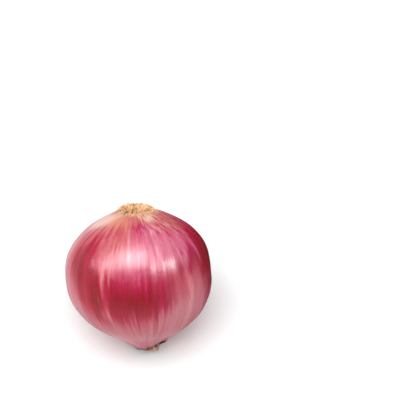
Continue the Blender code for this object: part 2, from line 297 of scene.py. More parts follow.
class OnionStage(bpy.types.PropertyGroup):
    """The floor and the studio light."""

    floor_radius: measure("Floor Radius", "Half the width of the floor", 4.0, unit="LENGTH")
    floor_tint: tint("Floor", "The pale floor", (0.895, 0.925, 0.925))
    key_power: measure("Key Light", "The large soft light overhead", 14.8, unit="POWER")
    side_power: measure("Side Light", "A soft light at the right", 2.0, unit="POWER")
    window_power: measure("Windows", "The bright windows that the skin mirrors", 9.0, unit="POWER")
    sky_strength: measure("Sky", "Dim light from above", 0.14, subtype="FACTOR")
    surround_strength: measure("Surround", "Pale surround, low all round", 0.9, subtype="FACTOR")
    shade_strength: measure("Shaded Side", "The surround's dark side", 0.03, subtype="FACTOR")


def smooth_step(value):
    value = np.clip(value, 0.0, 1.0)
    return value * value * (3.0 - 2.0 * value)


def fade_in(way, start, length):
    """0 up to the start and 1 from a length further on, both in degrees of the way."""
    return smooth_step((way - radians(start)) / radians(length))


def away_from(turn, middle):
    """How far the turn is from the middle, at most half a circle either way."""
    return (turn - middle + pi) % FULL_TURN - pi


def crown_point(turn):
    """A point of the profile's upper half, from the axis at 0 to the equator at 1."""
    angle = turn * pi / 2.0
    radius = BULB_RADIUS * sin(angle) ** (2.0 / CROWN_PEAK)
    return radius, CROWN_RISE * max(cos(angle), 0.0) ** (2.0 / CROWN_BELLY)


def crown_turn(radius):
    return asin((radius / BULB_RADIUS) ** (CROWN_PEAK / 2.0)) * 2.0 / pi


def shoulder_point(angle):
    """A point of the profile's lower half, from the equator at 0."""
    return BULB_RADIUS * cos(angle), -SHOULDER_DROP * sin(angle)


def neck_point(share):
    """A point of the neck's slope, a Bezier curve that leaves the shoulder without a kink."""
    angle = acos(NECK_START_RADIUS / BULB_RADIUS)
    start = Vector(shoulder_point(angle))
    fall = Vector((-BULB_RADIUS * sin(angle), -SHOULDER_DROP * cos(angle)))
    end = Vector((NECK_RADIUS, NECK_END))
    rise = Vector((cos(NECK_END_SLOPE), sin(NECK_END_SLOPE)))
    first = start + fall.normalized() * NECK_START_PULL
    second = end + rise * NECK_END_PULL
    left = 1.0 - share
    point = (
        start * left**3
        + first * 3.0 * left**2 * share
        + second * 3.0 * left * share**2
        + end * share**3
    )
    return point.x, point.y


def skin_profile():
    """From the crown's seat, over the skin, to the floor of the neck's collar."""
    first_turn = crown_turn(RIM_RADIUS)
    last_angle = acos(NECK_START_RADIUS / BULB_RADIUS)
    rim_height = crown_point(first_turn)[1]
    profile = [(0.0, SEAT_HEIGHT), (SEAT_RADIUS, SEAT_HEIGHT), (SEAT_RADIUS, rim_height - SEAT_LIP)]
    for row in range(CROWN_ROWS):
        share = 1.0 - (1.0 - row / CROWN_ROWS) ** EQUATOR_CROWDING
        profile.append(crown_point(first_turn + (1.0 - first_turn) * share))
    profile += [shoulder_point(last_angle * row / SHOULDER_ROWS) for row in range(SHOULDER_ROWS)]
    profile += [neck_point(row / NECK_ROWS) for row in range(NECK_ROWS + 1)]
    for row in range(COLLAR_ROWS + 1):
        share = row / COLLAR_ROWS
        radius = (NECK_RADIUS - COLLAR_WALL) * (1.0 - share) + COLLAR_FLOOR_RADIUS * share
        profile.append((radius, NECK_END + COLLAR_DEPTH * share))
    return [*profile, (0.0, NECK_END + COLLAR_DEPTH)]


def rib_wave(turn):
    """1 on a rib and 0 between ribs, with ribs at uneven spacing."""
    drifted = turn + sum(size * np.sin(waves * turn + phase) for waves, size, phase in RIB_DRIFTS)
    return (0.5 + 0.5 * np.cos(RIB_COUNT * drifted)) ** RIB_SHARPNESS


def skin_depth(turn, radius, height):
    """How far the skin lies inside the profile, so that rib tops are on it."""
    level = height / BULB_RADIUS
    fade = smooth_step(radius / (0.5 * BULB_RADIUS))
    ribs = RIB_DEPTH * (1.0 - rib_wave(turn)) * (RIB_DEPTH_AT_ENDS * (1.0 - fade) + fade)
    broad = 0.3 * np.cos(2.0 * turn + 0.7 + level) + 0.2 * np.cos(3.0 * turn + 2.1 - 2.0 * level)
    return ribs + LOBE_DEPTH * broad * fade


def tear(turn):
    """How much shorter the collar is in this direction."""
    away = away_from(turn, TEAR_DIRECTION)
    torn = TEAR_DEPTH * smooth_step(1.0 - np.abs(away / TEAR_HALF_WIDTH))
    ragged = 0.5 * np.sin(9.0 * turn + 0.5) + 0.5 * np.sin(14.0 * turn + 2.0)
    return torn + COLLAR_RAGGED * (1.0 + ragged)


def sway(height):
    """The sideways drift of the onion's middle, which isn't quite on its axis."""
    share = np.clip((height - SWAY_CENTRE) / SWAY_SPAN, -1.0, 1.0)
    return CROWN_SHIFT * smooth_step(height / (0.7 * CROWN_RISE)) - SWAY * np.sin(share * pi / 2.0)


def places(radius, turn, height):
    """Points at a radius, turn and height, with the onion's sideways drift."""
    return np.stack([radius * np.cos(turn) + sway(height), radius * np.sin(turn), height], axis=-1)


def lean_matrix():
    """How the onion lies: leaned over, with the flat spot of its shoulder at the origin."""
    lean = Euler((-LEAN_BACK, -LEAN_LEFT, 0.0)).to_matrix()
    upright = Vector((0.0, 0.0, 1.0))
    axis = lean @ upright
    tilt = axis.angle(upright)
    downhill = (axis * axis.z - upright).normalized()
    reach = hypot(SHOULDER_DROP * cos(tilt), BULB_RADIUS * sin(tilt))
    touch_radius = BULB_RADIUS**2 * sin(tilt) / reach
    touch_height = -(SHOULDER_DROP**2) * cos(tilt) / reach
    touch = axis * touch_height + downhill * touch_radius
    place = -touch - upright * FLAT_DEPTH
    return Matrix.Translation(place) @ lean.to_4x4()


def select_only(*pieces):
    bpy.ops.object.select_all(action="DESELECT")
    for piece in pieces:
        piece.select_set(True)
    if pieces:
        bpy.context.view_layer.objects.active = pieces[0]


def read_points(piece):
    points = np.empty(len(piece.data.vertices) * 3, np.float32)
    piece.data.vertices.foreach_get("co", points)
    return points.reshape(-1, 3).astype(float)


def write_points(piece, points):
    piece.data.vertices.foreach_set("co", points.astype(np.float32).ravel())
    piece.data.update()


def write_attribute(piece, name, values):
    """Stores a number, or a vector, for each vertex, for the materials to read."""
    kind, field = ("FLOAT", "value") if values.ndim == 1 else ("FLOAT_VECTOR", "vector")
    attribute = piece.data.attributes.new(name, kind, "POINT")
    attribute.data.foreach_set(field, values.astype(np.float32).ravel())


def noise_of(*parts):
    """Noise at each point, whose three coordinates are given part by part."""
    points = np.stack(np.broadcast_arrays(*parts), axis=-1)
    return np.array([noise.noise(point) for point in points.tolist()])


def noise_at(across, along, turn, way, seed=0.0):
    """Noise on the skin, in cells that are 1/across of the radius wide and 1/along of a radian long."""
    return noise_of(np.cos(turn) * across, np.sin(turn) * across, way * along + seed)


def edit_all():
    """Goes into edit mode with the whole mesh selected."""
    bpy.ops.object.mode_set(mode="EDIT")
    bpy.ops.mesh.select_all(action="SELECT")


def leave_edit():
    bpy.ops.object.mode_set(mode="OBJECT")


def modified(piece, kind, **settings):
    """Gives the piece a modifier with its settings, and applies it."""
    select_only(piece)
    modifier = piece.modifiers.new(kind, kind)
    for name, value in settings.items():
        setattr(modifier, name, value)
    bpy.ops.object.modifier_apply(modifier=modifier.name)


def turned(name, profile, segments):
    """A closed mesh: one point is extruded along the (radius, height) profile, which is then spun."""
    select_only()
    bpy.ops.mesh.primitive_plane_add(size=MM)
    piece = bpy.context.object
    piece.name = name
    edit_all()
    bpy.ops.mesh.merge(type="CENTER")
    bpy.ops.transform.translate(value=(profile[0][0], 0.0, profile[0][1]))
    for (radius, height), (next_radius, next_height) in zip(profile, profile[1:]):
        step = (next_radius - radius, 0.0, next_height - height)
        bpy.ops.mesh.extrude_region_move(TRANSFORM_OT_translate={"value": step})
    leave_edit()
    steps = {"steps": segments, "render_steps": segments}
    modified(piece, "SCREW", **steps, use_merge_vertices=True, merge_threshold=WELD)
    edit_all()
    bpy.ops.mesh.remove_doubles(threshold=WELD)
    bpy.ops.mesh.normals_make_consistent(inside=False)
    leave_edit()
    return piece


def lean_over(piece):
    """Leans the piece as the onion lies, with its place left in its mesh."""
    piece.matrix_world = lean_matrix() @ piece.matrix_world
    select_only(piece)
    bpy.ops.object.transform_apply(location=True, rotation=True, scale=True)


def press_up(piece, clearance, give):
    """Presses what is below the clearance up to it, but for a share of its depth."""
    points = read_points(piece)
    points[:, 2] = np.maximum(points[:, 2], clearance + give * points[:, 2])
    write_points(piece, points)


def cut_at_floor(piece):
    """Cuts away what is below the surface that the onion lies on, and closes the cuts flat."""
    select_only(piece)
    edit_all()
    floor = {"plane_co": (0.0, 0.0, 0.0), "plane_no": (0.0, 0.0, 1.0)}
    bpy.ops.mesh.bisect(**floor, use_fill=True, clear_inner=True, threshold=WELD)
    leave_edit()
    press_up(piece, 0.0, 0.0)


def smooth_shaded(piece, angle):
    select_only(piece)
    bpy.ops.object.shade_smooth_by_angle(angle=radians(angle))


def hand_over(piece, material, node):
    """Gives the piece its material and body, and lets it stand for its solid."""
    piece.data.materials.clear()
    piece.data.materials.append(material)
    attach(piece, BODY)
    if node:
        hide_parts(node)


# The skin's colour layers. A patch is its turn and way, its half width and half length, all in
# degrees, and how much it adds to the layer at its middle.
PIGMENT_BY_WAY = (
    (14, 0.3), (24, 0.33), (34, 0.4), (42, 0.46), (50, 0.52), (60, 0.6), (80, 0.68), (94, 0.69),
    (110, 0.58), (120, 0.46), (134, 0.41), (172, 0.45),
)
# The patch at turn -12, way 72 is painted shade that deepens the skin at its right edge.
PIGMENT_PATCHES = (
    (-104, 91, 20, 13, 0.28), (-84, 95, 14, 12, 0.24), (-67, 91, 13, 14, 0.2),
    (-110.5, 88, 4, 22, -0.18), (-106, 71, 4.5, 9, -0.2), (-119.5, 86, 6, 17, 0.2),
    (-127, 52, 6, 10, 0.14), (-133, 72, 9, 17, 0.22), (-147, 60, 5, 15, 0.06),
    (-170, 70, 16, 44, -0.42), (-149, 96, 11, 22, -0.36), (-112, 62, 6, 15, -0.13),
    (-94, 54, 14, 10, -0.14), (-62, 54, 18, 14, -0.22), (-36, 106, 20, 22, -0.36),
    (-40, 84, 9, 8, -0.12), (-27, 48, 10, 12, -0.08), (-12, 72, 15, 24, 0.28),
    (-38, 71, 9, 6, 0.16), (-50, 72, 6, 5, 0.18), (-41, 57, 9, 10, -0.12), (-36, 40, 8, 8, -0.14),
    (-30, 62, 8, 10, -0.28), (-43, 65, 6, 6, -0.14), (-139, 56, 5, 8, -0.2),
    (-137, 42, 8, 8, -0.14), (-89, 39, 7, 8, -0.09), (12, 62, 14, 28, 0.22),
    (-45, 31, 24, 7, -0.12), (-84, 32, 9, 9, 0.1), (-78, 26, 16, 8, 0.17), (70, 84, 22, 22, 0.26),
    (118, 66, 18, 26, 0.22), (158, 92, 16, 20, 0.18),
)
MAGENTA_PATCHES = (
    (-78, 75, 13, 9, 0.4), (-70, 48, 18, 21, 0.95), (-96, 66, 22, 12, 0.55), (-43, 58, 17, 16, 1),
    (-24, 60, 10, 13, 0.45), (-80, 30, 6, 8, 0.3), (-62, 92, 12, 22, 0.45),
    (-30, 102, 22, 28, 0.45), (-92, 90, 16, 18, 0.4), (-74, 150, 34, 22, 0.4),
    (40, 100, 30, 34, 0.6), (140, 50, 30, 30, 0.5),
)
PEACH_PATCHES = (
    (-132, 25, 24, 10, 0.9), (-107, 26, 13, 9, 0.65), (-84, 25, 15, 7, 0.45),
    (-104, 42, 8, 10, 0.24), (-48, 21, 26, 7, 0.6), (-26, 34, 20, 8, 0.3), (5, 24, 20, 7, 0.4),
    (90, 26, 40, 11, 0.75),
)
# The tiny dot at turn -131, way 105 is a painted glint.
CREAM_PATCHES = (
    (-163, 27, 34, 12, 1.1), (-132, 18, 26, 6, 0.35), (-54, 19, 27, 7.5, 1),
    (-168, 78, 10, 36, 0.36), (-53, 35, 4, 3.5, 0.5), (-131, 105, 0.7, 0.6, 1.4),
)
DUST_BY_WAY = (
    (0, -0.1), (97, -0.08), (106, 0.19), (114, 0.37), (128, 0.42), (172, 0.38),
)
# The patch at turn -172 pales the skin towards its left rim: dry dust, and in part a painted reflection.
DUST_PATCHES = (
    (-36, 100, 20, 24, 0.45), (-56, 88, 8, 18, 0.3), (-172, 78, 20, 48, 0.8),
    (-148, 98, 13, 24, 0.55), (-57, 111, 12, 13, 0.4), (-20, 92, 10, 12, 0.3),
    (-137, 48, 8, 16, 0.26), (-62, 33, 10, 7, 0.22), (60, 116, 30, 20, 0.25),
)
# Where the skin is blotched with paler scraps
BLOTCH_PATCHES = (
    (-48, 32, 30, 12, 1), (-24, 46, 14, 14, 0.5), (-128, 40, 16, 12, 0.2), (130, 40, 40, 16, 0.8),
)
# Pale veins: turn where it starts and ends, way where it starts and ends, half width and strength
# The vein at turn -91.5 is a pale vein and, in part, a painted highlight where it meets the gloss.
PALE_VEINS = (
    (-126, -108.5, 19, 94, 2.6, 0.9), (-108.5, -113.5, 68, 114, 3, 1),
    (-91.5, -90.5, 20, 76, 1.7, 0.95), (-73, -72, 20, 52, 1.2, 0.5),
    (-66.5, -68.5, 70, 134, 1.6, 1), (-54.5, -52, 76, 122, 1.6, 0.55), (-50, -42, 30, 96, 0.9, 0.9),
    (-43, -37, 70, 126, 2.6, 0.55), (-25, -24, 26, 92, 0.9, 0.7), (-14, -11, 24, 62, 1.3, 0.5),
    (-6, -4, 24, 84, 0.8, 0.45), (3, 2, 24, 70, 0.9, 0.45), (-138, -136, 22, 76, 1.2, 0.5),
    (-151, -149, 40, 96, 1.2, 0.45), (-97, -96, 110, 152, 1.2, 0.45),
    (-84, -85, 104, 150, 0.9, 0.45), (-76, -77, 106, 150, 0.9, 0.45),
    (-125, -121, 98, 152, 1.2, 0.5), (20, 25, 22, 118, 2, 0.8), (52, 50, 24, 100, 1.3, 0.6),
    (78, 86, 40, 134, 2.2, 0.9), (106, 103, 20, 96, 1.4, 0.7), (134, 139, 26, 130, 1.9, 0.85),
    (171, 168, 24, 110, 1.5, 0.7),
)
# An old bruise: its turn and way, the radius of its dark ring and how wide the ring is, in degrees
BLEMISH = (-122.5, 71.5, 1.6, 0.8)


def layer(turn, way, patches, by_way=((0, 0.0),)):
    """How strong a colour layer is at each point: its level along the way, and its patches."""
    total = np.interp(way, *zip(*[(radians(at), level) for at, level in by_way]))
    for patch_turn, patch_way, width, length, amount in patches:
        across = away_from(turn, radians(patch_turn)) / radians(width)
        along = (way - radians(patch_way)) / radians(length)
        total = total + amount * np.exp(-((across**2 + along**2) ** 1.4))
    return total


def pale_veins(turn, way):
    """How strong the pale veins are, each running down the skin and fading at its ends."""
    total = np.zeros(len(turn))
    for first_turn, last_turn, first_way, last_way, width, strength in PALE_VEINS:
        share = (way - radians(first_way)) / radians(last_way - first_way)
        centre = radians(first_turn) + radians(last_turn - first_turn) * np.clip(share, 0.0, 1.0)
        ends = smooth_step(share * 4.0) * smooth_step((1.0 - share) * 4.0)
        total += strength * ends * np.exp(-((away_from(turn, centre) / radians(width)) ** 2))
    return total


def blemish(turn, way):
    """1 on the small dark ring of an old bruise."""
    at_turn, at_way, size, line = (radians(angle) for angle in BLEMISH)
    reach = np.hypot((turn - at_turn) * sin(at_way), way - at_way)
    return np.exp(-(((reach - size) / line) ** 2))


def inner_faces(radius, height):
    """Which points are in the crown's seat, and which are inside the neck's collar."""
    in_seat = (height > 0.0) & (radius < RIM_RADIUS - NEAR)
    in_collar = (height < 0.0) & (radius < NECK_RADIUS - NEAR)
    return in_seat, in_collar


def paint_skin(piece, turn, way, radius, height):
    """Stores the skin's colour layers, with their ends drawn out in streaks along the ribs."""
    streaks = noise_at(15.0, 0.5, turn, way)
    fine_streaks = noise_at(38.0, 0.9, turn, way, seed=7.0)
    lower_streaks = fade_in(way, *LOWER_FADE) * noise_at(30.0, 1.6, turn, way, seed=17.0)
    drift = noise_at(2.5, 2.0, turn, way, seed=3.0)
    wandered = turn + radians(4.0) * drift
    drawn = way + radians(11.0) * streaks + radians(5.0) * fine_streaks
    rib_veins = np.clip(0.15 + 1.2 * noise_at(6.0, 1.0, turn, way, seed=11.0), 0.0, 0.36)
    veins = rib_wave(turn) ** 3.0 * rib_veins
    veins += pale_veins(turn + radians(1.5) * drift, way) * (1.0 + 0.6 * fine_streaks)
    blotches = noise_at(19.0, 9.0, turn, way, seed=21.0)
    blotches += 0.7 * noise_at(36.0, 20.0, turn, way, seed=4.0)
    pigment = layer(wandered, drawn, PIGMENT_PATCHES, PIGMENT_BY_WAY)
    pigment += 0.15 * streaks + 0.05 * fine_streaks + 0.10 * drift + 0.14 * lower_streaks
    pigment += 0.55 * blotches * layer(turn, way, BLOTCH_PATCHES)
    pigment += 0.45 * blemish(turn, way)
    dust = layer(wandered, drawn, DUST_PATCHES, DUST_BY_WAY)
    # Painted shade: the inner faces in the crown's seat and inside the neck's collar are wholly dark;
    # the band at the neck's end is the torn dry edge.
    in_seat, in_collar = inner_faces(radius, height)
    crown_edge = (1.0 - smooth_step((radius - RIM_RADIUS) / CROWN_EDGE)) * (height > 0.0)
    neck_edge = (1.0 - smooth_step((height - NECK_END) / NECK_EDGE)) * (height < 0.0)
    layers = {
        "pigment": pigment,
        "magenta": layer(wandered, drawn, MAGENTA_PATCHES) + 0.25 * drift,
        "peach": layer(wandered, drawn, PEACH_PATCHES) + 0.8 * crown_edge,
        "cream": layer(wandered, drawn, CREAM_PATCHES),
        "dust": dust + 0.10 * streaks - 0.30 * lower_streaks,
        "vein": np.clip(veins, 0.0, 1.2),
        "dry_edge_and_shade": np.where(in_collar | in_seat, 1.0, neck_edge),
        "skin_way": np.stack([np.cos(turn), np.sin(turn), way], axis=-1),
    }
    for name, values in layers.items():
        write_attribute(piece, name, values)


def relief_skin(points):
    """Where the turned profile's points go on the real, uneven skin, and where they were."""
    radius = np.hypot(points[:, 0], points[:, 1])
    turn = np.arctan2(points[:, 1], points[:, 0])
    height = points[:, 2]
    way = np.arctan2(radius, height)
    in_seat, in_collar = inner_faces(radius, height)
    outside = ~(in_seat | in_collar)
    near_crown = 1.0 - fade_in(way, *PUCKER_FADE)
    near_neck = fade_in(way, *WRINKLE_FADE)
    relief = FIBRE_RELIEF * (noise_at(24.0, 0.7, turn, way) + 0.25 * noise_at(60.0, 1.2, turn, way))
    relief += DENT_RELIEF * noise_at(1.7, 1.7, turn, way, seed=5.0)
    relief += PUCKER_RELIEF * near_crown * noise_at(9.0, 2.0, turn, way, seed=9.0)
    relief += WRINKLE_RELIEF * near_neck * noise_at(5.0, 1.5, turn, way, seed=13.0)
    relief = np.where(outside, relief, 0.0)
    moved = radius - np.where(outside, skin_depth(turn, radius, height), 0.0) + relief * np.sin(way)
    lifted = height + relief * np.cos(way)
    on_rim = (height > 0.0) & (np.abs(radius - RIM_RADIUS) < NEAR)
    ragged = np.sin(7.0 * turn + 1.0) + np.sin(17.0 * turn) + 0.8 * noise_at(30.0, 1.0, turn, way)
    moved = moved + np.where(on_rim, RIM_RAGGED * 0.5 * ragged, 0.0)
    on_collar_floor = in_collar & (height > NECK_END + COLLAR_DEPTH - WELD)
    torn = tear(turn) + TEAR_RAGGED * noise_at(11.0, 0.0, turn, way) * (height < 0.0)
    torn = torn * smooth_step((NECK_END + TEAR_REACH - height) / TEAR_REACH)
    torn = np.where(on_collar_floor, 0.0, torn)
    return places(moved + TEAR_OPENING * torn, turn, lifted + torn), turn, way, radius, height


class Recipe:
    """The nodes of a material or of the world, added one step at a time round its shader."""

    def __init__(self, owner, shader="Principled BSDF"):
        owner.use_nodes = True
        self.owner = owner
        self.nodes = owner.node_tree.nodes
        self.links = owner.node_tree.links
        self.shader = self.nodes[shader]

    def put(self, values, sockets):
        """Links a node's output to each named or numbered socket, or gives the socket its value."""
        for name, value in values.items():
            socket = sockets[name]
            if isinstance(value, bpy.types.NodeSocket):
                self.links.new(value, socket)
            elif isinstance(value, (float, int)):
                socket.default_value = value
            else:
                socket.default_value = (*value, 1.0)[: len(socket.default_value)]

    def node(self, kind, values, **settings):
        """The outputs of a new node."""
        made = self.nodes.new("ShaderNode" + kind)
        for name, setting in settings.items():
            setattr(made, name, setting)
        self.put(values, made.inputs)
        return made.outputs

    def attribute(self, name, *terms):
        """A number stored with the piece's vertices, with the terms added to it."""
        return self.add_up(self.node("Attribute", {}, attribute_name=name)["Fac"], *terms)

    def math(self, operation, first, second):
        return self.node("Math", {0: first, 1: second}, operation=operation)[0]

    def add_up(self, base, *terms):
        """base + amount * value for each (value, amount) term."""
        total = base
        for value, amount in terms:
            total = self.math("ADD", total, self.math("MULTIPLY", value, amount))
        return total

    def noise(self, place, cells, detail=2.0, roughness=0.5, distortion=0.0):
        """Noise from about -1 to 1, with so many cells in one unit of each direction."""
        vector = self.node("VectorMath", {0: place, 1: cells}, operation="MULTIPLY")[0]
        values = {"Vector": vector, "Scale": 1.0, "Detail": detail, "Roughness": roughness}
        made = self.node("TexNoise", {**values, "Distortion": distortion})
        return self.share(made["Fac"], 0.25, 0.75, -1.0, 1.0, kind="LINEAR")

    def grain(self, cells, detail=3.0, roughness=0.6):
        """Noise in object coordinates, with so many cells in a metre."""
        place = self.node("TexCoord", {})["Object"]
        return self.noise(place, (cells, cells, cells), detail, roughness)

    def share(self, value, low, high, start=0.0, end=1.0, kind="SMOOTHSTEP"):
        """The value, with low to high mapped to start to end and clamped there."""
        values = dict(enumerate((value, low, high, start, end)))
        return self.node("MapRange", values, interpolation_type=kind)[0]

    def blend(self, share, first, second):
        return self.node("Mix", {0: share, 6: first, 7: second}, data_type="RGBA")[2]

    def cover(self, first, second, value, *limits):
        """The first colour, covered by the second as the value goes through the limits."""
        return self.blend(self.share(value, *limits), first, second)

    def ramp(self, value, stops):
        """A colour read from (place, colour) stops."""
        made = self.nodes.new("ShaderNodeValToRGB")
        elements = made.color_ramp.elements
        for place, _ in stops[2:]:
            elements.new(place)
        for element, (place, colour) in zip(elements, stops):
            element.position = place
            element.color = (*colour, 1.0)
        self.put({0: value}, made.inputs)
        return made.outputs[0]

    def bump(self, height, distance):
        made = self.node("Bump", {"Strength": 1.0, "Distance": distance * MM, "Height": height})
        self.put({"Normal": made[0]}, self.shader.inputs)

    def finish(self, sockets):
        """Sets or links the shader's sockets by name."""
        self.put(sockets, self.shader.inputs)
        return self.owner


def new_material(name):
    return Recipe(bpy.data.materials.new(name))


def soft(weight, *radius, scale):
    """The sockets for light that spreads under the surface, with its scale in mm."""
    names = ("Subsurface Weight", "Subsurface Radius", "Subsurface Scale")
    return dict(zip(names, (weight, radius, scale * MM)))


def skin_material(tints):
    """Red papery skin: pigment under dust, pale ribs, fine fibres and a soft gloss, with painted shade
    on its inner faces.
    """
    recipe = new_material("red_skin")
    way = recipe.node("Attribute", {}, attribute_name="skin_way")["Vector"]
    fibres = recipe.noise(way, (75.0, 75.0, 2.0), detail=3.0, roughness=0.6)
    threads = recipe.noise(way, (170.0, 170.0, 5.0))
    streaks = recipe.noise(way, (26.0, 26.0, 1.1), detail=3.0, distortion=0.3)
    mottle = recipe.noise(way, (7.0, 7.0, 6.0), detail=4.0, roughness=0.6)
    dashes = recipe.noise(way, (30.0, 30.0, 8.0), detail=3.0, distortion=0.4)

    def level(name, *shares):
        return recipe.attribute(name, *zip((streaks, fibres, mottle), shares))

    pigment = level("pigment", 0.07, 0.04, 0.08)
    pigment = recipe.add_up(pigment, (threads, 0.02), (dashes, 0.05), (recipe.attribute("vein"), -0.17))
    stops = (0.10, 0.36, 0.62, 0.98)
    warm_tints = (tints.warm_pale, tints.warm_light, tints.warm_full, tints.warm_deep)
    cool_tints = (tints.cool_pale, tints.cool_light, tints.cool_full, tints.cool_deep)
    warm = recipe.ramp(pigment, list(zip(stops, warm_tints)))
    cool = recipe.ramp(pigment, list(zip(stops, cool_tints)))
    colour = recipe.cover(warm, cool, recipe.attribute("magenta"), 0.0, 1.0)
    colour = recipe.cover(colour, tints.peach, level("peach", 0.20, 0.08, 0.10), 0.05, 1.0)
    colour = recipe.cover(colour, tints.cream, level("cream", 0.12, 0.08, 0.08), 0.10, 1.0)
    dust = level("dust", 0.14, 0.10, 0.10)
    colour = recipe.cover(colour, tints.dust, dust, 0.0, 1.0, 0.0, 0.85)
    # The torn dry edge at the neck, and painted shade on the inner faces.
    edge = recipe.attribute("dry_edge_and_shade", (fibres, 0.15))
    colour = recipe.cover(colour, tints.dry_edge_and_shade, edge, 0.25, 0.75)
    recipe.bump(recipe.add_up(0.0, (streaks, 0.3), (fibres, 0.2), (threads, 0.1), (mottle, 0.2)), 0.11)
    return recipe.finish(
        {
            "Base Color": colour,
            "Roughness": recipe.add_up(0.37, (streaks, 0.03), (fibres, 0.05), (dust, 0.10)),
            "Specular IOR Level": 0.32,
            "Coat Weight": 0.15,
            "Coat Roughness": 0.28,
            **soft(0.12, 1.0, 0.25, 0.3, scale=1.2),
        }
    )


def root_material(tints):
    """Dried root ends: straw with dark patches, on a dark cork plate; the cork also paints shade in the
    plate's pits and in the wide roots' hollow tips.
    """
    recipe = new_material("dry_root")
    grain = recipe.grain(1800.0)
    patches = recipe.grain(420.0, detail=2.0, roughness=0.5)
    tone = recipe.attribute("tone", (patches, 0.25))
    body = recipe.cover(tints.straw, tints.root_pale, tone, 0.1, 0.9)
    rise = recipe.attribute("rise", (grain, 0.12), (patches, 0.14))
    colour = recipe.cover(tints.cork_and_shade, body, rise, 0.04, 0.33)
    recipe.bump(grain, 0.05)
    sockets = {"Base Color": colour, "Roughness": 0.82, "Specular IOR Level": 0.05}
    return recipe.finish({**sockets, **soft(0.08, 1.0, 0.6, 0.35, scale=0.8)})


def scale_material(tints):
    """Bleached papery ends of skin: cream and peach, browner where they are torn."""
    recipe = new_material("skin_scales")
    grain = recipe.grain(900.0)
    tone = recipe.attribute("tone", (grain, 0.15))
    colour = recipe.cover(tints.peach, tints.scale_cream, tone, 0.2, 0.8)
    end = recipe.attribute("rise", (grain, 0.10))
    colour = recipe.cover(colour, tints.straw, end, 0.86, 1.0, 0.0, 0.7)
    recipe.bump(grain, 0.04)
    sockets = {"Base Color": colour, "Roughness": 0.55}
    return recipe.finish({**sockets, **soft(0.25, 1.0, 0.5, 0.4, scale=0.8)})


def husk_material(tints):
    """Dried leaf ends: tan, with brown torn ends, and painted shade deep in the neck and in their
    creases.
    """
    recipe = new_material("dry_leaf")
    grain = recipe.grain(700.0, detail=4.0)
    tone = recipe.attribute("tone", (grain, 0.25))
    colour = recipe.cover(tints.husk, tints.husk_pale, tone, 0.1, 0.9)
    # Painted shade: a low rise darkens the leaves deep in the neck and in their creases.
    deep = recipe.attribute("rise", (grain, 0.04))
    colour = recipe.cover(colour, tints.husk_burnt_and_shade, deep, 0.34, 0.62, 1.0, 0.0)
    end = recipe.attribute("rise", (grain, 0.06))
    colour = recipe.cover(colour, tints.husk_burnt_and_shade, end, 0.90, 1.0, 0.0, 0.8)
    recipe.bump(grain, 0.06)
    return recipe.finish({"Base Color": colour, "Roughness": 0.72, "Specular IOR Level": 0.3})


def scrap_material(tints):
    """Scraps of skin at the torn collar: rough and pink, nearly black where they are torn, and wholly
    dark, as painted shade, where their tone is 1.
    """
    recipe = new_material("skin_scraps_and_shade")
    grain = recipe.grain(1500.0)
    colour = recipe.cover(tints.dust, tints.warm_pale, grain, -0.8, 0.8)
    end = recipe.share(recipe.attribute("rise", (grain, 0.05)), 0.90, 0.98)
    dark = recipe.math("MAXIMUM", recipe.attribute("tone"), end)
    recipe.bump(grain, 0.08)
    colour = recipe.blend(dark, colour, tints.painted_scrap_shade)
    return recipe.finish({"Base Color": colour, "Roughness": 0.9, "Specular IOR Level": 0.0})


def choose(piece, mode, items, test):
    """Selects the edges or faces that pass the test, in edit mode."""
    select_only(piece)
    bpy.ops.object.mode_set(mode="EDIT")
    bpy.ops.mesh.select_mode(type=mode)
    bpy.ops.mesh.select_all(action="DESELECT")
    leave_edit()
    for item in items:
        item.select = test(item)
    bpy.ops.object.mode_set(mode="EDIT")


def joined(name, pieces):
    select_only(*pieces)
    bpy.ops.object.join()
    piece = bpy.context.object
    piece.name = name
    piece.data.name = name
    return piece


def root_template(sides, cuts):
    """One root along +Z, a unit in radius and height, with a hollow broken tip."""
    select_only()
    bpy.ops.mesh.primitive_cylinder_add(
        vertices=sides, radius=1.0, depth=1.0, location=(0.0, 0.0, 0.5)
    )
    template = bpy.context.object
    bpy.ops.object.transform_apply(location=True)
    mesh = template.data
    heights = [vertex.co.z for vertex in mesh.vertices]
    choose(template, "EDGE", mesh.edges, lambda edge: len({heights[end] for end in edge.vertices}) > 1)
    bpy.ops.mesh.subdivide(number_cuts=cuts)
    leave_edit()
    choose(template, "FACE", mesh.polygons, lambda face: face.normal.z > 0.9)
    bpy.ops.mesh.inset(thickness=0.38)
    bpy.ops.transform.translate(value=(0.0, 0.0, -0.16))
    leave_edit()
    return template


def copies(template, makes):
    """A copy of the template for each of the makes, its points, tone and rise, in its place."""
    pieces = []
    mesh = template.data
    for points, tone, rise in makes:
        piece = bpy.data.objects.new(template.name, mesh.copy())
        bpy.context.collection.objects.link(piece)
        write_points(piece, points)
        write_attribute(piece, "tone", np.full(len(points), tone))
        write_attribute(piece, "rise", rise)
        pieces.append(piece)
    bpy.data.objects.remove(template)
    bpy.data.meshes.remove(mesh)
    return pieces


def plate_height(radius):
    """The domed top of the root plate."""
    share = min(radius / PLATE_RADIUS, 1.0)
    dome = sqrt(1.0 - PLATE_ROUNDING * share * share)
    return PLATE_EDGE_HEIGHT + (PLATE_TOP_HEIGHT - PLATE_EDGE_HEIGHT) * dome


